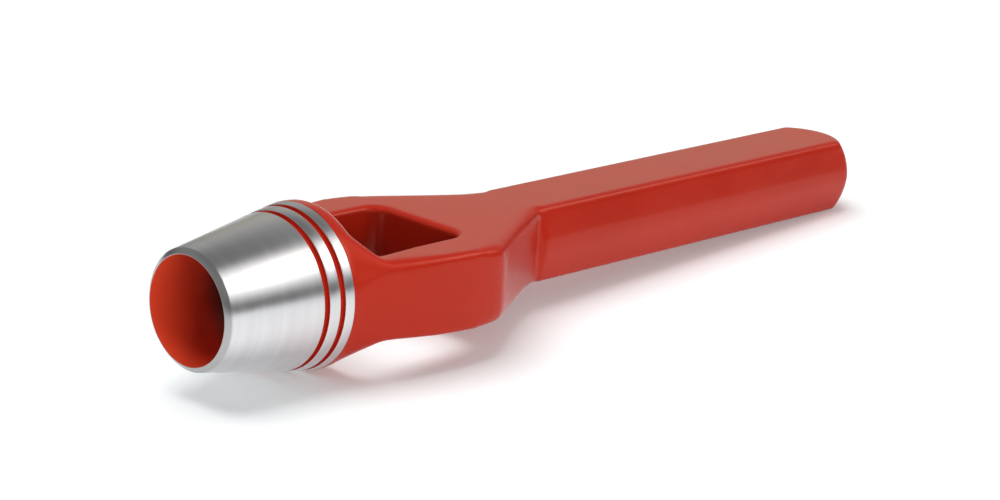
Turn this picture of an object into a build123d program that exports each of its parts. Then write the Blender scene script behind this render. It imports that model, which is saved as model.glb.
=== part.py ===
"""Handle hole punch: a drop-forged hollow punch, lying at rest on its flat side."""
import os
from math import atan2, degrees, radians, sqrt, tan

from build123d import *

# Driving sizes in millimetres. While it is drawn, the tool's own axis is X: the cutting
# edge is at X = 0, the struck end is at +X, and the two forged flats face +Z and -Z.
# Only at the end is the finished tool tipped into the way it rests on a floor.

# cutting cup, turned and ground
cutting_diameter = 14.0
bore_taper = 2.9                # degrees each side, so that a slug comes loose behind the edge
edge_bevel_length = 0.7
edge_bevel_rise = 0.8           # from the cutting edge out to the ground cone
cup_taper = 10.0                # degrees each side
cup_length = 18.0               # ground length, from the cutting edge to the paint
groove_width = 0.75
groove_depth = 0.45
groove_spacing = 2.25
last_band_width = 1.3           # ground band between the last groove and the paint

# shoulder behind the cup
shoulder_land = 1.9
shoulder_slope = 45.0           # degrees down towards the flats
shoulder_rim_radius = 1.4

# root of the two cheeks, where the round shoulder runs out into the flat block
root_setback = 0.3              # from the end of the ground steel
root_length = 4.3
root_sink = 0.06                # its round end stays this far under the shoulder
root_round_flat = 0.04          # what is left of the flats at its round end

# forged block with its two cheeks and the slug window
flat_thickness = 10.6           # across the two flats, block, neck and shank alike
block_width = 30.4
block_end = 40.0                # where the cheeks stop and the neck starts
cheek_sweep_radius = 53.0
block_corner_radius = 2.5       # between cheek and neck, seen from above
block_edge_radius = 1.0         # along the flats, cheeks and neck alike
window_width = 16.6
window_end = 39.4
window_setback = 0.4            # behind the place where the bore breaks out of the shoulder
window_corner_radius = 2.6
window_edge_radius = 0.8

# neck
neck_end = 56.2
neck_width = 11.2               # where it meets the shank
neck_hollow_radius = 160.0
neck_overlap = 1.5              # how far it runs on inside the shank

# shank
tool_length = 125.0
shank_flat_width = 10.8
shank_crest_width = 13.4        # across the parting line, half way between the flats
shank_edge_radius = 0.9
shank_crest_radius = 5.0
shank_front_radius = 1.0
head_crown_radius = 8.6
head_edge_radius = 0.5

loose = 0.001                   # how near counts as touching when an edge is picked out

# Sizes worked out from the ones above.
half_thickness = flat_thickness / 2
cutting_radius = cutting_diameter / 2
cone_start_radius = cutting_radius + edge_bevel_rise
cone_rise = tan(radians(cup_taper))
bore_rise = tan(radians(bore_taper))
shoulder_fall = tan(radians(shoulder_slope))


def cone_radius(x):
    """Radius of the ground cone at a distance from the cutting edge."""
    return cone_start_radius + (x - edge_bevel_length) * cone_rise


cup_radius = cone_radius(cup_length)
last_groove_end = cup_length - last_band_width
groove_ends = [last_groove_end - groove_spacing, last_groove_end]

shoulder_start = cup_length + shoulder_land
shoulder_end = shoulder_start + (cup_radius - half_thickness) / shoulder_fall
bore_end_radius = cutting_radius + shoulder_end * bore_rise
bore_breakout = (cup_radius + shoulder_start * shoulder_fall - cutting_radius) / (shoulder_fall + bore_rise)

root_start = cup_length + root_setback
root_end = root_start + root_length
sweep_centre = (block_end, block_width / 2 - cheek_sweep_radius)
sweep_start = (root_end, sweep_centre[1] + sqrt(cheek_sweep_radius**2 - (block_end - root_end) ** 2))
block_corner = (block_end, block_width / 2)
neck_corner = (neck_end, neck_width / 2)

# Cutting cup: ground cone, two grooves and the forged shoulder, all turned about the axis.
with BuildPart() as cup:
    with BuildSketch(Plane.XZ) as cup_profile:
        with BuildLine():
            Polyline(
                (0, 0),
                (0, cutting_radius),
                (edge_bevel_length, cone_start_radius),
                (cup_length, cup_radius),
                (shoulder_start, cup_radius),
                (shoulder_end, half_thickness),
                (shoulder_end, 0),
                close=True,
            )
        make_face()
        rim = cup_profile.vertices().sort_by_distance((shoulder_start, cup_radius))[0]
        fillet(rim, shoulder_rim_radius)
    revolve(axis=Axis.X)
    with BuildSketch(Plane.XZ):
        for groove_end in groove_ends:
            groove_start = groove_end - groove_width
            groove_floor = cone_radius(groove_start) - groove_depth
            with BuildLine():
                Polyline(
                    (groove_start, groove_floor),
                    (groove_start, cup_radius),
                    (groove_end, cup_radius),
                    (groove_end, groove_floor),
                    close=True,
                )
            make_face()
    revolve(axis=Axis.X, mode=Mode.SUBTRACT)

# Block and neck: one outline between the flats, mirrored about the axis. The cheeks swell to
# the widest place, then the neck falls in a hollow curve to the shank.
with BuildPart() as body:
    with BuildSketch() as outline:
        with BuildLine():
            Line((root_end, 0), sweep_start)
            RadiusArc(sweep_start, block_corner, cheek_sweep_radius)
            hollow = RadiusArc(block_corner, neck_corner, -neck_hollow_radius)
            tail = Line(hollow @ 1, hollow @ 1 + (hollow % 1) * neck_overlap)
            Polyline(tail @ 1, ((tail @ 1).X, 0), (root_end, 0))
        make_face()
        mirror(about=Plane.XZ)
        corners = [v for v in outline.vertices() if abs(v.X - block_end) < loose]
        fillet(corners, block_corner_radius)
    extrude(amount=half_thickness, both=True)
    rims = body.edges().group_by(Axis.Z)[0] + body.edges().group_by(Axis.Z)[-1]
    long_edges = [e for e in rims if abs((e @ 0).X - (e @ 1).X) > loose]
    fillet(long_edges, block_edge_radius)

# Root of the cheeks: a straight run from the round shoulder to the front of the block. Its four
# corners carry the rim of the shoulder over into the long edges of the cheeks.
root_round = 2 * (cup_radius - root_sink)
with BuildPart() as root:
    with BuildSketch(Plane.YZ.offset(root_start)) as round_end:
        RectangleRounded(root_round, root_round, (root_round - root_round_flat) / 2)
    block_front = body.faces().sort_by(Axis.X)[0]
    loft([round_end.sketch.face(), block_front], ruled=True)

# What the crowned end is trimmed by: a block with a ball taken out of its near side.
crown_centre = tool_length - head_crown_radius
with BuildPart() as crown_trim:
    with Locations((crown_centre, 0, 0)):
        Box(
            2 * head_crown_radius,
            2 * shank_crest_width,
            2 * shank_crest_width,
            align=(Align.MIN, Align.CENTER, Align.CENTER),
        )
        Sphere(head_crown_radius, rotation=(0, 0, 180), mode=Mode.SUBTRACT)

# Shank: flat above and below, each side two slightly sloping facets that meet at the parting
# line in a soft crest, and a crowned end to strike.
with BuildPart() as shank:
    with BuildSketch(Plane.YZ.offset(neck_end)) as section:
        Polygon(
            (shank_flat_width / 2, half_thickness),
            (-shank_flat_width / 2, half_thickness),
            (-shank_crest_width / 2, 0),
            (-shank_flat_width / 2, -half_thickness),
            (shank_flat_width / 2, -half_thickness),
            (shank_crest_width / 2, 0),
            align=None,
        )
        crests = section.vertices().group_by(Axis.X)[0] + section.vertices().group_by(Axis.X)[-1]
        fillet(crests, shank_crest_radius)
        corners = section.vertices().group_by(Axis.Y)[0] + section.vertices().group_by(Axis.Y)[-1]
        fillet(corners, shank_edge_radius)
    extrude(amount=tool_length + head_edge_radius - neck_end)
    fillet(shank.faces().sort_by(Axis.X)[0].edges(), shank_front_radius)
    add(crown_trim.part, mode=Mode.SUBTRACT)
    crown_rim = [e for e in shank.edges() if (e @ 0).X > crown_centre and (e @ 1).X > crown_centre]
    crown_rim = [e for e in crown_rim if e.bounding_box().max.X < tool_length - head_edge_radius]
    fillet(crown_rim, head_edge_radius)

# The forging in one piece, then the tapered bore and the slug window cut through it.
with BuildPart() as punch:
    add(cup.part)
    add(root.part)
    add(body.part)
    add(shank.part)
    with BuildSketch(Plane.XZ):
        with BuildLine():
            Polyline(
                (0, 0),
                (0, cutting_radius),
                (shoulder_end, bore_end_radius),
                (shoulder_end, 0),
                close=True,
            )
        make_face()
    revolve(axis=Axis.X, mode=Mode.SUBTRACT)
    window_start = bore_breakout + window_setback
    window_length = window_end - window_start
    with BuildSketch() as window:
        with Locations((window_start + window_length / 2, 0)):
            Rectangle(window_length, window_width)
        fillet(window.vertices().group_by(Axis.X)[-1], window_corner_radius)
    extrude(amount=cup_radius, both=True, mode=Mode.SUBTRACT)
    window_rims = []
    for edge in punch.edges():
        reach = edge.bounding_box()
        on_a_flat = reach.size.Z < loose and abs(abs(edge.center().Z) - half_thickness) < loose
        beside_window = max(-reach.min.Y, reach.max.Y) < window_width / 2 + loose
        behind_front = window_start + loose < edge.center().X and reach.max.X < window_end + loose
        if on_a_flat and beside_window and behind_front:
            window_rims.append(edge)
    fillet(window_rims, window_edge_radius)

print("valid", punch.part.is_valid, "solids", len(punch.solids()), "faces", len(punch.faces()))
print("volume", punch.part.volume)

# Lying down, the tool touches the floor with the shoulder and with the foot of the crown, so
# its axis drops a little towards the struck end.
shoulder_foot = shoulder_start - shoulder_rim_radius * tan(radians(shoulder_slope / 2))
crown_foot = crown_centre + sqrt(head_crown_radius**2 - half_thickness**2)
rest_tilt = degrees(atan2(cup_radius - half_thickness, crown_foot - shoulder_foot))
with BuildPart() as tipped:
    add(punch.part, rotation=(0, rest_tilt, 0))
box = tipped.part.bounding_box()
with BuildPart() as resting:
    with Locations((-box.center().X, 0, -box.min.Z)):
        add(tipped.part)

os.makedirs("parts", exist_ok=True)
resting.part.label = "punch"
export_step(resting.part, "parts/punch.step")
print("rest tilt", rest_tilt, "box", resting.part.bounding_box())
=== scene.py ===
# %% [markdown]
# Handle hole punch, lying on a pale floor.
# The tool is one drop forging: a turned and ground steel cup in front, then a red-painted
# shoulder, block, neck and shank. The CAD frame gives the sizes and the place of everything.
# This lesson first sets the camera, then mixes the paint and the steel, turns the cup, softens
# the forging, and last lays the floor and sets the light.

# %% Open the frame
from math import cos, hypot, pi, radians, sin, tan

import bmesh
import bpy
import numpy as np
from mathutils import Matrix, Vector


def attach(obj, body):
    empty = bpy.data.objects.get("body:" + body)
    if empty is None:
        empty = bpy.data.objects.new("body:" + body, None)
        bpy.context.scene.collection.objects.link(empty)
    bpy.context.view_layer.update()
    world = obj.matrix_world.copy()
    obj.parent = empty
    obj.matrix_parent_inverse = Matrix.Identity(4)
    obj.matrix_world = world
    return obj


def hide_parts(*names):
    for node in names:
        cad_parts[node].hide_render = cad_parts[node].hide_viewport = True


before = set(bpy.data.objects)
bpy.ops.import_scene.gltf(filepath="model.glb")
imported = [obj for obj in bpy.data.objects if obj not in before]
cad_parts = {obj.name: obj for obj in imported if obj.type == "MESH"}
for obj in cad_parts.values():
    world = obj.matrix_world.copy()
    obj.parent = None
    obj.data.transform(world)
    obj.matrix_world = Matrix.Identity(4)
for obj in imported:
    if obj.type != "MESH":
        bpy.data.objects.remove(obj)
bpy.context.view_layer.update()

scene = bpy.context.scene

# %% [markdown]
# The tool rests on its shoulder and on the foot of its struck end, so its own axis tips a
# little. Turned and ground surfaces are easiest to describe along that axis. This cell holds
# the one turn and shift that take a point from the tool's own axes to the floor's axes.
# Along the tool, X starts at the cutting edge and Z points out of the upper flat.

# %% The tool's own axes
MM = 0.001
TOUCHING = 0.002 * MM
REST_TILT = radians(3.05929)
AXIS_START = Vector((-62.2303, 0, 11.8681)) * MM
tool_to_floor = Matrix.Translation(AXIS_START) @ Matrix.Rotation(REST_TILT, 4, "Y")
floor_to_tool = tool_to_floor.inverted()

print("tool tips by", round(REST_TILT * 180 / pi, 2), "degrees")

# %% [markdown]
# The camera comes before the pieces, because every later choice is looked at through it.
# It stands low in front of the cutting edge, on the side of minus Y, far off with a long lens,
# so that the shank narrows only a little with distance.

# %% Camera
camera = bpy.data.objects.new("camera", bpy.data.cameras.new("camera"))
camera.data.sensor_width = 36
camera.data.lens = 108
camera.data.clip_start = 0.01
camera.location = Vector((-282.523, -265.464, 135.584)) * MM
camera.rotation_euler = [radians(a) for a in (71.4502, -1.1455, -45.6266)]
scene.collection.objects.link(camera)
scene.camera = camera
print("camera at", [round(v, 3) for v in camera.location])

# %% [markdown]
# A few helpers keep the material cells short. Each material is a tree of nodes: one node
# makes a pattern, one reshapes it, and the Principled shader turns it into a surface.

# %% Node helpers


def add_node(tree, kind, inputs=None, **settings):
    """Adds one node, sets its properties, then fills or links its inputs by name or number."""
    made = tree.nodes.new(kind)
    for name, value in settings.items():
        setattr(made, name, value)
    for name, value in (inputs or {}).items():
        if isinstance(value, bpy.types.NodeSocket):
            tree.links.new(value, made.inputs[name])
        else:
            made.inputs[name].default_value = value
    return made


def new_material(name):
    """An empty material, its node tree and its Principled shader."""
    material = bpy.data.materials.new(name)
    material.use_nodes = True
    tree = material.node_tree
    shader = tree.nodes["Principled BSDF"]
    return material, tree, shader


def tool_coordinates(tree):
    """Object coordinates turned and shifted onto the tool's own axes, in metres."""
    where = add_node(tree, "ShaderNodeTexCoord")
    centred = add_node(
        tree, "ShaderNodeMapping",
        {"Vector": where.outputs["Object"], "Location": AXIS_START, "Rotation": (0, REST_TILT, 0)},
        vector_type="TEXTURE",
    )
    return centred.outputs["Vector"]


print("helpers ready")

# %% [markdown]
# Neither paint nor ground steel is of one flat colour. A noise pattern makes both drift a
# little, and most of such a pattern lies between 0.3 and 0.7. So one helper spreads that part
# over two tones and one over two numbers. The other two mix colours and put one on a surface.
# A Mix node has sockets for several kinds of value: its colours go in at 6 and 7, out at 2.

# %% Tones and gloss
NOISE_LOW, NOISE_HIGH = 0.3, 0.7


def two_tones(tree, pattern, tones):
    """A colour that drifts between two tones with a noise pattern."""
    ramp = add_node(tree, "ShaderNodeValToRGB", {"Fac": pattern})
    for element, position, tone in zip(ramp.color_ramp.elements, (NOISE_LOW, NOISE_HIGH), tones):
        element.position = position
        element.color = (*tone, 1)
    return ramp.outputs["Color"]


def between(tree, pattern, low, high):
    """A number that drifts between two values with a noise pattern."""
    return add_node(
        tree, "ShaderNodeMapRange",
        {"Value": pattern, "From Min": NOISE_LOW, "From Max": NOISE_HIGH, "To Min": low, "To Max": high},
    ).outputs["Result"]


def mixed(tree, share, first, second, way="MIX"):
    """Two colours in one: all of the first at a share of 0, all of the second at 1."""
    inputs = {0: share, 6: first, 7: second}
    return add_node(tree, "ShaderNodeMix", inputs, data_type="RGBA", blend_type=way).outputs[2]


def set_colour(material, colour):
    """Links a colour to the base colour of a material's shader."""
    tree = material.node_tree
    tree.links.new(colour, tree.nodes["Principled BSDF"].inputs["Base Color"])


print("noise used from", NOISE_LOW, "to", NOISE_HIGH)

# %% [markdown]
# The paint is one thick red coat, sprayed over the raw forging. It is glossy but not a
# mirror: it dried with a faint orange peel, and it follows the gentle unevenness the dies
# left in the steel. Two sizes of noise go into the bump for these, and a third shifts the
# colour and the gloss a little, because the coat is never equally thick. The same recipe is
# used twice, so it is a function of its name, its two tones and its range of roughness.

# %% Recipe for the coat


def coat_of_paint(name, tones, roughness):
    """A sprayed coat; hands back the material, its coordinates and its colour."""
    material, tree, shader = new_material(name)
    place = tool_coordinates(tree)
    coat = add_node(tree, "ShaderNodeTexNoise", {"Vector": place, "Scale": 70, "Detail": 3}).outputs["Fac"]
    colour = two_tones(tree, coat, tones)
    forged = add_node(tree, "ShaderNodeTexNoise", {"Vector": place, "Scale": 110, "Detail": 2})
    waves = add_node(
        tree, "ShaderNodeBump", {"Height": forged.outputs["Fac"], "Strength": 0.25, "Distance": 0.4 * MM}
    )
    peel = add_node(tree, "ShaderNodeTexNoise", {"Vector": place, "Scale": 900, "Detail": 2})
    skin = add_node(
        tree, "ShaderNodeBump",
        {"Height": peel.outputs["Fac"], "Normal": waves.outputs["Normal"],
         "Strength": 0.10, "Distance": 0.1 * MM},
    )
    set_colour(material, colour)
    tree.links.new(between(tree, coat, *roughness), shader.inputs["Roughness"])
    tree.links.new(skin.outputs["Normal"], shader.inputs["Normal"])
    shader.inputs["IOR"].default_value = 1.32
    shader.inputs["Specular Tint"].default_value = (1.0, 0.94, 0.75, 1)
    return material, place, colour


print("recipe ready")

# %% [markdown]
# Outside, the coat is wet and glossy. In the bore the spray arrives nearly dry, so there the
# paint is dull, and its red is made a little lighter: painted light. Further in, the colour
# fades to a near black brown: painted shade for the deep bore. Where that shade starts is a
# guess from the dark right edge of the bore in the photograph. These are two materials of one
# recipe.

# %% Red paint: glossy outside, dull in the bore with painted light and shade
GLOSSY_REDS = ((0.45, 0.0175, 0.0060), (0.49, 0.0205, 0.0075))
LIGHTENED_BORE_REDS = ((0.67, 0.054, 0.020), (0.71, 0.060, 0.023))
DEEP_BORE_SHADE = (0.06, 0.012, 0.008, 1)
BORE_SHADE_STARTS, BORE_SHADE_FULL = 7.8 * MM, 12.6 * MM
# The bore's red is lighter than the red outside: painted light.
bore_paint_lit_and_shaded, place, lightened_bore_red = coat_of_paint("bore_paint_lit_and_shaded", LIGHTENED_BORE_REDS, (0.55, 0.60))
tree = bore_paint_lit_and_shaded.node_tree
depth_in = add_node(tree, "ShaderNodeSeparateXYZ", {0: place}).outputs["X"]
# Deep in the bore the colour fades to near black: painted shade.
deep_bore_shade = add_node(
    tree, "ShaderNodeMapRange",
    {"Value": depth_in, "From Min": BORE_SHADE_STARTS, "From Max": BORE_SHADE_FULL},
    interpolation_type="SMOOTHSTEP",
)
set_colour(bore_paint_lit_and_shaded, mixed(tree, deep_bore_shade.outputs["Result"], lightened_bore_red, DEEP_BORE_SHADE))
red_paint, place, glossy_red = coat_of_paint("red_paint", GLOSSY_REDS, (0.19, 0.25))
print("paints", red_paint.name, bore_paint_lit_and_shaded.name)

# %% [markdown]
# In the photograph the walls of the slug window are much darker than the faces round it. Most
# of that is shade, which the lamps give. The rest is painted shade: a darker red on those walls.
# A box of coordinates, a little smaller than the block is thick, picks out those walls and
# fades across its border.

# %% Painted shade in the window
WINDOW_MIDDLE = Vector((31.2, 0, 0)) * MM
WINDOW_REACH = Vector((8.5, 8.5, 4.8)) * MM
BORDER_INNER, BORDER_OUTER = -0.4 * MM, 0.1 * MM
WINDOW_SHADE_RED = (0.27, 0.012, 0.005, 1)
tree = red_paint.node_tree
off_middle = add_node(tree, "ShaderNodeVectorMath", {0: place, 1: WINDOW_MIDDLE}, operation="SUBTRACT")
how_far = add_node(tree, "ShaderNodeVectorMath", {0: off_middle.outputs[0]}, operation="ABSOLUTE")
beyond = add_node(
    tree, "ShaderNodeVectorMath", {0: how_far.outputs[0], 1: WINDOW_REACH}, operation="SUBTRACT"
)
sides = add_node(tree, "ShaderNodeSeparateXYZ", {0: beyond.outputs[0]}).outputs
farthest = add_node(tree, "ShaderNodeMath", {0: sides["X"], 1: sides["Y"]}, operation="MAXIMUM")
farthest = add_node(tree, "ShaderNodeMath", {0: farthest.outputs[0], 1: sides["Z"]}, operation="MAXIMUM")
window_shade = add_node(
    tree, "ShaderNodeMapRange",
    {"Value": farthest.outputs[0], "From Min": BORDER_INNER, "From Max": BORDER_OUTER,
     "To Min": 1.0, "To Max": 0.0},
)
# The window walls get a darker red: painted shade.
set_colour(red_paint, mixed(tree, window_shade.outputs["Result"], glossy_red, WINDOW_SHADE_RED))
print("window coat, mm", [round(v / MM, 1) for v in WINDOW_REACH])

# %% [markdown]
# The cup is ground bright while it spins, so all its marks are rings round the axis. Rings
# blur a reflection along the tool but leave it crisp across, which is why a ground cone shows
# long light and dark bands. The noise is squeezed along the axis to draw the rings, and the
# anisotropic highlight does the blur. Its direction comes from the cup's own UV map, which
# the lathe makes. The narrow bevel at the cutting edge gets a darker steel tone: painted shade.

# %% Ground steel
STEEL_TONES = ((0.62, 0.612, 0.622), (0.70, 0.692, 0.702))
BEVEL_SHADE_TONE = (0.40, 0.395, 0.40, 1)
BEVEL_SHADE_UP_TO, GROUND_FROM = 0.6 * MM, 0.8 * MM


def stretched(tree, vector, scale):
    """The same coordinates, squeezed or drawn out along each axis."""
    return add_node(tree, "ShaderNodeMapping", {"Vector": vector, "Scale": scale}).outputs["Vector"]


ground_steel, tree, shader = new_material("ground_steel")
place = tool_coordinates(tree)
rings = add_node(
    tree, "ShaderNodeTexNoise",
    {"Vector": stretched(tree, place, (5000, 8, 8)), "Scale": 1, "Detail": 3},
)
passes = add_node(
    tree, "ShaderNodeTexNoise",
    {"Vector": stretched(tree, place, (700, 5, 5)), "Scale": 1, "Detail": 2},
).outputs["Fac"]
marks = add_node(
    tree, "ShaderNodeBump", {"Height": rings.outputs["Fac"], "Strength": 0.05, "Distance": 0.02 * MM}
)
length = add_node(tree, "ShaderNodeSeparateXYZ", {0: place}).outputs["X"]
past_bevel = add_node(
    tree, "ShaderNodeMapRange", {"Value": length, "From Min": BEVEL_SHADE_UP_TO, "From Max": GROUND_FROM}
)
steel = two_tones(tree, passes, STEEL_TONES)
# The bevel gets a darker steel: painted shade.
set_colour(ground_steel, mixed(tree, past_bevel.outputs["Result"], BEVEL_SHADE_TONE, steel))
grain = add_node(tree, "ShaderNodeTangent", direction_type="UV_MAP", uv_map="turned")
tree.links.new(between(tree, passes, 0.29, 0.34), shader.inputs["Roughness"])
tree.links.new(marks.outputs["Normal"], shader.inputs["Normal"])
tree.links.new(grain.outputs["Tangent"], shader.inputs["Tangent"])
shader.inputs["Metallic"].default_value = 1.0
shader.inputs["Anisotropic"].default_value = 0.7
print("steel", ground_steel.name)

# %% [markdown]
# The cup's shape follows one rule: a half outline turned round the axis. So its outline is
# drawn once, as a chain of points, and Geometry Nodes act as the lathe. The outline begins
# behind the ground part, comes forward along the bore to the cutting edge, climbs a short
# bevel, runs up the ground cone over two square grooves and drops behind the edge of the
# paint. It ends where it began, so the turned cup is a closed ring.

# %% Outline of the cup
CUT_RADIUS, CONE_START, BEVEL_LENGTH = 7.0, 7.8, 0.7
CONE_RISE, BORE_RISE = tan(radians(10)), tan(radians(2.9))
CUP_LENGTH = 18.0
GROOVE_WIDTH, GROOVE_DEPTH = 0.75, 0.45
GROOVE_STARTS = (13.70, 15.95)
PAINT_FILM = 0.05
HIDDEN_LENGTH = 0.3


def cone_at(x):
    """Radius of the ground cone, in millimetres, at a distance from the cutting edge."""
    return CONE_START + (x - BEVEL_LENGTH) * CONE_RISE


def bore_at(x):
    """Radius of the tapered bore at the same distance."""
    return CUT_RADIUS + x * BORE_RISE


hidden_end = CUP_LENGTH + HIDDEN_LENGTH
outline = [
    (hidden_end, bore_at(hidden_end) + PAINT_FILM),
    (CUP_LENGTH, bore_at(CUP_LENGTH)),
    (0, CUT_RADIUS),
    (BEVEL_LENGTH, CONE_START),
]
for start in GROOVE_STARTS:
    end = start + GROOVE_WIDTH
    floor_radius = cone_at(start) - GROOVE_DEPTH
    outline += [(start, cone_at(start)), (start, floor_radius), (end, floor_radius), (end, cone_at(end))]
outline += [
    (CUP_LENGTH, cone_at(CUP_LENGTH) - PAINT_FILM),
    (hidden_end, cone_at(CUP_LENGTH) - 4 * PAINT_FILM),
    outline[0],
]
outline_mesh = bpy.data.meshes.new("cup_outline")
links = [(i, i + 1) for i in range(len(outline) - 1)]
outline_mesh.from_pydata([(x * MM, r * MM, 0) for x, r in outline], links, [])
print("outline points", len(outline))

# %% [markdown]
# The lathe is a grid of faces: its rows are the outline's points and its columns the steps
# round the axis. First the outline's corners are rounded a little, because no real edge is
# perfectly sharp and a rounded one catches the light. Each grid point then knows its row and
# its step, and so its angle.

# %% Lathe: inputs, softened outline and grid
lathe = bpy.data.node_groups.new("lathe", "GeometryNodeTree")
lathe.interface.new_socket("Outline", in_out="INPUT", socket_type="NodeSocketGeometry")
lathe_sizes = {
    "Steps round": ("NodeSocketInt", 300),
    "Edge radius": ("NodeSocketFloat", 0.07 * MM),
    "Groove paint depth": ("NodeSocketFloat", 0.12 * MM),
    "Bore paint depth": ("NodeSocketFloat", 0.67 * MM),
    "Grooves start": ("NodeSocketFloat", 13.0 * MM),
}
for name, (kind, value) in lathe_sizes.items():
    lathe.interface.new_socket(name, in_out="INPUT", socket_type=kind).default_value = value
lathe.interface.new_socket("Cup", in_out="OUTPUT", socket_type="NodeSocketGeometry")
given = lathe.nodes.new("NodeGroupInput").outputs


def calc(operation, *values):
    """One math node of the lathe, with its values or links filled in."""
    return add_node(lathe, "ShaderNodeMath", dict(enumerate(values)), operation=operation).outputs[0]


curve = add_node(lathe, "GeometryNodeMeshToCurve", {"Mesh": given["Outline"]})
soft = add_node(
    lathe, "GeometryNodeFilletCurve",
    {"Curve": curve.outputs["Curve"], "Radius": given["Edge radius"], "Count": 3, "Limit Radius": True},
    mode="POLY",
)
size = add_node(
    lathe, "GeometryNodeAttributeDomainSize", {"Geometry": soft.outputs["Curve"]}, component="CURVE"
)
columns = calc("ADD", given["Steps round"], 1.0)
grid = add_node(
    lathe, "GeometryNodeMeshGrid", {"Vertices X": size.outputs["Point Count"], "Vertices Y": columns}
)
index = add_node(lathe, "GeometryNodeInputIndex").outputs[0]
row = calc("FLOOR", calc("DIVIDE", calc("ADD", index, 0.5), columns))
turn = calc("DIVIDE", calc("SUBTRACT", index, calc("MULTIPLY", row, columns)), given["Steps round"])
angle = calc("MULTIPLY", turn, 2 * pi)
print("lathe nodes so far", len(lathe.nodes))

# %% [markdown]
# Each grid point looks up its outline point, reads how far along and how far out it is, and
# moves to that place at its own angle. The two numbers are also kept as a UV map, so that the
# grinding marks can follow the turning. Merging by distance then closes both seams.

# %% Lathe: turning
here = add_node(lathe, "GeometryNodeInputPosition").outputs[0]
sample = add_node(
    lathe, "GeometryNodeSampleIndex",
    {"Geometry": soft.outputs["Curve"], "Value": here, "Index": row},
    data_type="FLOAT_VECTOR", domain="POINT",
)
point = add_node(lathe, "ShaderNodeSeparateXYZ", {0: sample.outputs["Value"]}).outputs
placed = add_node(
    lathe, "ShaderNodeCombineXYZ",
    {
        "X": point["X"],
        "Y": calc("MULTIPLY", calc("SINE", angle), point["Y"]),
        "Z": calc("MULTIPLY", calc("COSINE", angle), point["Y"]),
    },
)
turned = add_node(
    lathe, "GeometryNodeSetPosition", {"Geometry": grid.outputs["Mesh"], "Position": placed.outputs[0]}
)
share_along = calc("DIVIDE", point["X"], hidden_end * MM)
flat_map = add_node(lathe, "ShaderNodeCombineXYZ", {"X": share_along, "Y": turn})
mapped = add_node(
    lathe, "GeometryNodeStoreNamedAttribute",
    {"Geometry": turned.outputs[0], "Name": "turned", "Value": flat_map.outputs[0]},
    data_type="FLOAT2", domain="CORNER",
)
closed = add_node(
    lathe, "GeometryNodeMergeByDistance", {"Geometry": mapped.outputs[0], "Distance": TOUCHING}
)
smooth = add_node(
    lathe, "GeometryNodeSetShadeSmooth", {"Geometry": closed.outputs[0], "Shade Smooth": True}
)
print("lathe nodes so far", len(lathe.nodes))

# %% [markdown]
# The bore and the bottoms of the grooves kept their paint, because the grinding wheel never
# reached them. How deep a face lies under the ground cone tells which faces those are: more
# than a wall's thickness near the cutting edge, more than a scratch from the grooves on. The
# cup is tipped into its resting place only after that test, while its axis is still X.

# %% Lathe: paint and resting place
face_at = add_node(lathe, "ShaderNodeSeparateXYZ", {0: here}).outputs
across = add_node(lathe, "ShaderNodeCombineXYZ", {"Y": face_at["Y"], "Z": face_at["Z"]})
out = add_node(lathe, "ShaderNodeVectorMath", {0: across.outputs[0]}, operation="LENGTH").outputs["Value"]
depth = calc("SUBTRACT", calc("MULTIPLY_ADD", face_at["X"], CONE_RISE, cone_at(0) * MM), out)
by_grooves = calc("GREATER_THAN", face_at["X"], given["Grooves start"])
in_groove = calc("MULTIPLY", by_grooves, calc("GREATER_THAN", depth, given["Groove paint depth"]))
in_bore = calc("GREATER_THAN", depth, given["Bore paint depth"])
marked = smooth
for name, chosen in (("groove_paint", in_groove), ("bore_paint_lit_and_shaded", in_bore)):
    marked = add_node(
        lathe, "GeometryNodeStoreNamedAttribute",
        {"Geometry": marked.outputs[0], "Name": name, "Value": chosen},
        data_type="BOOLEAN", domain="FACE",
    )
resting = add_node(
    lathe, "GeometryNodeTransform",
    {"Geometry": marked.outputs[0], "Translation": AXIS_START, "Rotation": (0, REST_TILT, 0)},
)
real = add_node(lathe, "GeometryNodeRealizeInstances", {"Geometry": resting.outputs[0]})
finished = add_node(
    lathe, "GeometryNodeSetMaterial", {"Geometry": real.outputs[0], "Material": ground_steel}
)
for name, paint in (("groove_paint", red_paint), ("bore_paint_lit_and_shaded", bore_paint_lit_and_shaded)):
    chosen = add_node(lathe, "GeometryNodeInputNamedAttribute", {"Name": name}, data_type="BOOLEAN")
    finished = add_node(
        lathe, "GeometryNodeSetMaterial",
        {"Geometry": finished.outputs[0], "Selection": chosen.outputs["Attribute"], "Material": paint},
    )
add_node(lathe, "NodeGroupOutput", {0: finished.outputs[0]})
print("lathe nodes", len(lathe.nodes))

# %% [markdown]
# The tree is put on the outline as a modifier. Its inputs are known by their identifiers, not
# by the names on the panel, so the names are looked up first. The evaluated result is then
# kept as a plain mesh, because a saved model has no modifiers.

# %% Turn the cup


def freeze(shaped, name):
    """A plain object from another object's evaluated mesh, in the same place."""
    graph = bpy.context.evaluated_depsgraph_get()
    mesh = bpy.data.meshes.new_from_object(shaped.evaluated_get(graph), depsgraph=graph)
    mesh.name = name
    for slot in reversed(range(len(mesh.materials))):
        if mesh.materials[slot] is None:
            mesh.materials.pop(index=slot)
    kept = bpy.data.objects.new(name, mesh)
    scene.collection.objects.link(kept)
    bpy.data.objects.remove(shaped)
    return kept


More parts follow.
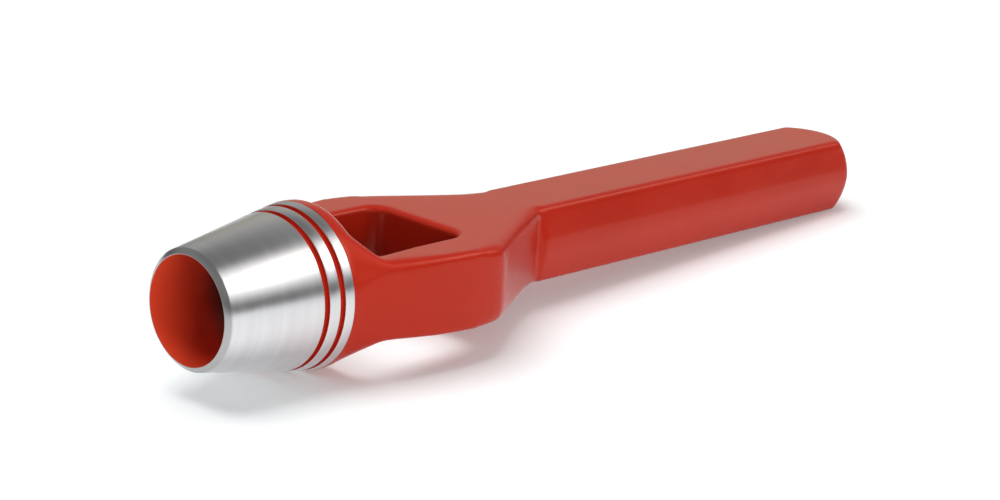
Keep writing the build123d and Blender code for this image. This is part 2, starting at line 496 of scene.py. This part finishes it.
blank = bpy.data.objects.new("cup_blank", outline_mesh)
scene.collection.objects.link(blank)
turning = blank.modifiers.new("lathe", "NODES")
turning.node_group = lathe
sockets = {s.name: s.identifier for s in lathe.interface.items_tree if s.item_type == "SOCKET"}
for name, (kind, value) in lathe_sizes.items():
    turning[sockets[name]] = value
ground_cup = freeze(blank, "ground_cup")
in_paint = sum(1 for face in ground_cup.data.polygons if face.material_index > 0)
print("cup faces", len(ground_cup.data.polygons), "of them painted", in_paint)

# %% [markdown]
# Everything else is the forging itself. Its shape is right in the CAD solid, but a solid's
# mesh has long thin triangles and knife-sharp creases where its parts meet. Hot steel pressed
# in a die has none of those. So a copy of the mesh is merged, laid along the tool's own axes
# and given an even skin of small squares, which can be softened like clay.

# %% Even skin on a copy of the forging
SKIN_SQUARE = 0.28 * MM
form = bmesh.new()
form.from_mesh(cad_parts["punch"].data)
bmesh.ops.remove_doubles(form, verts=form.verts, dist=TOUCHING)
form.transform(floor_to_tool)
form_mesh = bpy.data.meshes.new("forging_form")
form.to_mesh(form_mesh)
form.free()
rough = bpy.data.objects.new("rough_forging", form_mesh)
scene.collection.objects.link(rough)
even = rough.modifiers.new("even_skin", "REMESH")
even.mode = "VOXEL"
even.voxel_size = SKIN_SQUARE
forging = freeze(rough, "painted_forging")
print("skin squares", len(forging.data.polygons))

# %% [markdown]
# Softening moves every point half way to the middle of its neighbours. A few rounds everywhere
# round the edges as the dies and a thick coat of paint do. Three places get many more rounds,
# because the dies leave a broad smooth blend there: where the round shoulder runs out into
# the flat block, at the outer back corners of the block, and along the hollow of the neck.
# Each place has four stations along the tool, between which its extra rounds come in, hold and
# go out, then a least distance out from the middle plane, and the number of extra rounds.

# %% Soften the skin
EVERYWHERE_ROUNDS = 3
SIDE_FADE = 1.5
BLENDS = (
    ([18.6, 20.5, 24.5, 30.0], 0.0, 30),
    ([35.5, 39.0, 41.0, 43.0], 11.5, 60),
    ([40.0, 43.0, 53.0, 57.0], 0.0, 60),
)
points = np.empty(len(forging.data.vertices) * 3)
forging.data.vertices.foreach_get("co", points)
points = points.reshape(-1, 3)
pairs = np.empty(len(forging.data.edges) * 2, dtype=int)
forging.data.edges.foreach_get("vertices", pairs)
pairs = pairs.reshape(-1, 2)
ends = np.concatenate([pairs[:, 0], pairs[:, 1]])
others = np.concatenate([pairs[:, 1], pairs[:, 0]])
neighbours = np.bincount(ends, minlength=len(points))
along = points[:, 0] / MM
sideways = np.abs(points[:, 1]) / MM
rounds = np.full(len(points), float(EVERYWHERE_ROUNDS))
for stations, least_out, extra in BLENDS:
    far_enough = np.interp(sideways, [least_out - SIDE_FADE, least_out], [0, 1])
    rounds += extra * np.interp(along, stations, [0, 1, 1, 0]) * far_enough
for turn_number in range(int(rounds.max())):
    weight = 0.5 * np.clip(rounds - turn_number, 0, 1)
    middle = np.stack(
        [np.bincount(ends, weights=points[others, axis], minlength=len(points)) for axis in range(3)],
        axis=1,
    )
    points += weight[:, None] * (middle / neighbours[:, None] - points)
forging.data.vertices.foreach_set("co", points.ravel())
forging.data.update()
print("softened", len(points), "points")

# %% [markdown]
# The ground cup already stands for the front of the tool, so the forging is cut off square
# where the ground steel ends, and the cut is closed with a ring. That leaves a paint edge of
# a twentieth of a millimetre standing over the bright steel, as on the real tool. The faces
# that go on with the bore, until just inside the window, take the dull bore paint with its
# painted light and shade. Edges that turn by more than the crease angle, such as the paint's
# edge, stay sharp in the shading.

# %% Cut the front off
BORE_END = 23.2
NEAR_BORE = 0.15
CREASE_ANGLE = radians(50)
cut = bmesh.new()
cut.from_mesh(forging.data)
bmesh.ops.bisect_plane(
    cut, geom=cut.verts[:] + cut.edges[:] + cut.faces[:],
    plane_co=(CUP_LENGTH * MM, 0, 0), plane_no=(1, 0, 0), clear_inner=True,
)
open_edges = [edge for edge in cut.edges if edge.is_boundary]
bmesh.ops.bridge_loops(cut, edges=open_edges)
bmesh.ops.recalc_face_normals(cut, faces=cut.faces)
for face in cut.faces:
    face.smooth = True
    centre = face.calc_center_median() / MM
    from_axis = hypot(centre.y, centre.z)
    in_bore_wall = centre.x < BORE_END and from_axis < bore_at(centre.x) + NEAR_BORE
    face.material_index = 1 if in_bore_wall else 0
cut.transform(tool_to_floor)
cut.to_mesh(forging.data)
left_open = sum(1 for edge in cut.edges if edge.is_boundary)
cut.free()
forging.data.set_sharp_from_angle(angle=CREASE_ANGLE)
forging.data.materials.clear()
forging.data.materials.append(red_paint)
forging.data.materials.append(bore_paint_lit_and_shaded)
print("open edges", left_open, "faces", len(forging.data.polygons))

# %% [markdown]
# Both pieces are one solid tool, so both ride on its only body, and the CAD solid's mesh is hidden in
# their place.

# %% Ride on the frame
for piece in (ground_cup, forging):
    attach(piece, "root")
    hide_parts("punch")
print("riding", ground_cup.name, forging.name)

# %% [markdown]
# The floor is a wide pale sheet. To the camera it also glows a little, so that it reads white
# in the picture while it still takes the tool's shadow. To shiny things and to glass it glows
# a little more, so that the steel mirrors a bright floor.

# %% Floor
FLOOR_HALF = 3.0
GLOW_SEEN, GLOW_MIRRORED = 0.17, 0.28
pale_floor, tree, shader = new_material("pale_floor")
shader.inputs["Base Color"].default_value = (0.955, 0.985, 0.985, 1)
shader.inputs["Roughness"].default_value = 0.9
shader.inputs["Specular IOR Level"].default_value = 0.0
ray = add_node(tree, "ShaderNodeLightPath").outputs
mirrored = add_node(
    tree, "ShaderNodeMath", {0: ray["Is Glossy Ray"], 1: ray["Is Transmission Ray"]}, operation="MAXIMUM"
)
glow = add_node(
    tree, "ShaderNodeMath", {0: mirrored.outputs[0], 1: GLOW_MIRRORED}, operation="MULTIPLY"
)
glow = add_node(
    tree, "ShaderNodeMath",
    {0: ray["Is Camera Ray"], 1: GLOW_SEEN, 2: glow.outputs[0]}, operation="MULTIPLY_ADD",
)
shader.inputs["Emission Color"].default_value = (1, 1, 1, 1)
tree.links.new(glow.outputs[0], shader.inputs["Emission Strength"])
floor_mesh = bpy.data.meshes.new("floor")
corners = [(x * FLOOR_HALF, y * FLOOR_HALF, 0) for x, y in ((-1, -1), (1, -1), (1, 1), (-1, 1))]
floor_mesh.from_pydata(corners, [], [(0, 1, 2, 3)])
floor_mesh.materials.append(pale_floor)
floor = bpy.data.objects.new("floor", floor_mesh)
scene.collection.objects.link(floor)
print("floor", FLOOR_HALF * 2, "m wide")

# %% [markdown]
# The room is the world. Dull surfaces are lit by an even grey from all round. Shiny ones
# show a room with some order in it: darker near the floor and overhead, paler half way up,
# one broad bright glow high on the side of minus Y with a strong core, which draws the white
# band along the ground cone, a small one beside it, which draws the pale line along the
# block's upper edge, and one low warm glow behind the tool.

# %% World: order in the room
ROOM_LEVELS = ((0.0, 0.10), (0.12, 0.13), (0.25, 0.26), (0.36, 0.42), (0.62, 0.45), (0.85, 0.21))
world = bpy.data.worlds.new("studio")
world.use_nodes = True
scene.world = world
tree = world.node_tree
tree.nodes.clear()
direction = add_node(tree, "ShaderNodeTexCoord").outputs["Generated"]
height = add_node(tree, "ShaderNodeSeparateXYZ", {0: direction}).outputs["Z"]
room = add_node(tree, "ShaderNodeValToRGB", {"Fac": height})
levels = room.color_ramp.elements
for number, (position, level) in enumerate(ROOM_LEVELS):
    element = levels[number] if number < len(levels) else levels.new(position)
    element.position = position
    element.color = (level, level, level, 1)
print("room levels", len(levels))

# %% [markdown]
# A glow is a soft round patch on the room. The dot product of two directions tells how close
# they are, so a direction is inside the patch where that number is high enough. Each glow has
# its azimuth, its elevation, the angle up to which it is full, the angle where it is gone,
# all in degrees, and its colour.

# %% World: the glows
GLOWS = (
    (40, 6, 9, 24, (0.36, 0.355, 0.24)),
    (-58, 43, 6, 34, (1.45, 1.45, 1.45)),
    (-30, 37, 5, 16, (2.4, 2.2, 2.0)),
    (-54, 39, 3, 14, (2.4, 2.4, 2.4)),
)


def towards(azimuth, elevation):
    """Unit direction from the tool; azimuth turns from +X towards +Y, both in degrees."""
    a, e = radians(azimuth), radians(elevation)
    return Vector((cos(a) * cos(e), sin(a) * cos(e), sin(e)))


lit = room.outputs["Color"]
for azimuth, elevation, full, gone, colour in GLOWS:
    facing = add_node(
        tree, "ShaderNodeVectorMath",
        {0: direction, 1: towards(azimuth, elevation)}, operation="DOT_PRODUCT",
    )
    amount = add_node(
        tree, "ShaderNodeMapRange",
        {"Value": facing.outputs["Value"], "From Min": cos(radians(gone)), "From Max": cos(radians(full))},
        interpolation_type="SMOOTHSTEP",
    )
    patch = mixed(tree, amount.outputs["Result"], (0, 0, 0, 1), (*colour, 1))
    lit = mixed(tree, 1.0, lit, patch, "ADD")
print("glows", len(GLOWS))

# %% [markdown]
# Light Path now hands each ray its own room: the camera and glass see white, shiny surfaces
# the room with its glows, and all else the even grey.

# %% World: which ray sees what
EVEN_GREY, WHITE = (0.24, 0.24, 0.245, 1), (1, 1, 1, 1)
ray = add_node(tree, "ShaderNodeLightPath").outputs
lighting = mixed(tree, ray["Is Glossy Ray"], EVEN_GREY, lit)
plain = add_node(
    tree, "ShaderNodeMath", {0: ray["Is Camera Ray"], 1: ray["Is Transmission Ray"]}, operation="MAXIMUM"
)
seen = mixed(tree, plain.outputs[0], lighting, WHITE)
background = add_node(tree, "ShaderNodeBackground", {"Color": seen})
add_node(tree, "ShaderNodeOutputWorld", {"Surface": background.outputs[0]})
print("world nodes", len(tree.nodes))

# %% [markdown]
# Two soft boxes, each a metre away, do the rest. One hangs almost overhead, a little behind
# the tool: it lights the upper flat and keeps the shadow close. The other is low on the side
# of minus Y and a little to the front: it lights the near side and looks a little way into the
# bore. Both are kept out of reflections, because the world already gives the shiny surfaces
# their glows.

# %% Lamps
BOX_DISTANCE = 1.0
SOFT_BOXES = {
    "back_box": {"azimuth": 100, "elevation": 77, "width": 0.8, "height": 0.8, "power": 7.7},
    "side_box": {"azimuth": -107, "elevation": 15, "width": 0.5, "height": 0.3, "power": 4.2},
}
for name, box in SOFT_BOXES.items():
    lamp = bpy.data.lights.new(name, "AREA")
    lamp.energy = box["power"]
    lamp.shape = "RECTANGLE"
    lamp.size = box["width"]
    lamp.size_y = box["height"]
    stand = bpy.data.objects.new(name, lamp)
    away = towards(box["azimuth"], box["elevation"])
    stand.location = away * BOX_DISTANCE
    stand.rotation_euler = away.to_track_quat("Z", "Y").to_euler()
    stand.visible_glossy = False
    scene.collection.objects.link(stand)
print("lamps", len(SOFT_BOXES))

# %% [markdown]
# Standard view keeps the paint's red as written; the film-like views would pale it.

# %% View
scene.view_settings.view_transform = "Standard"
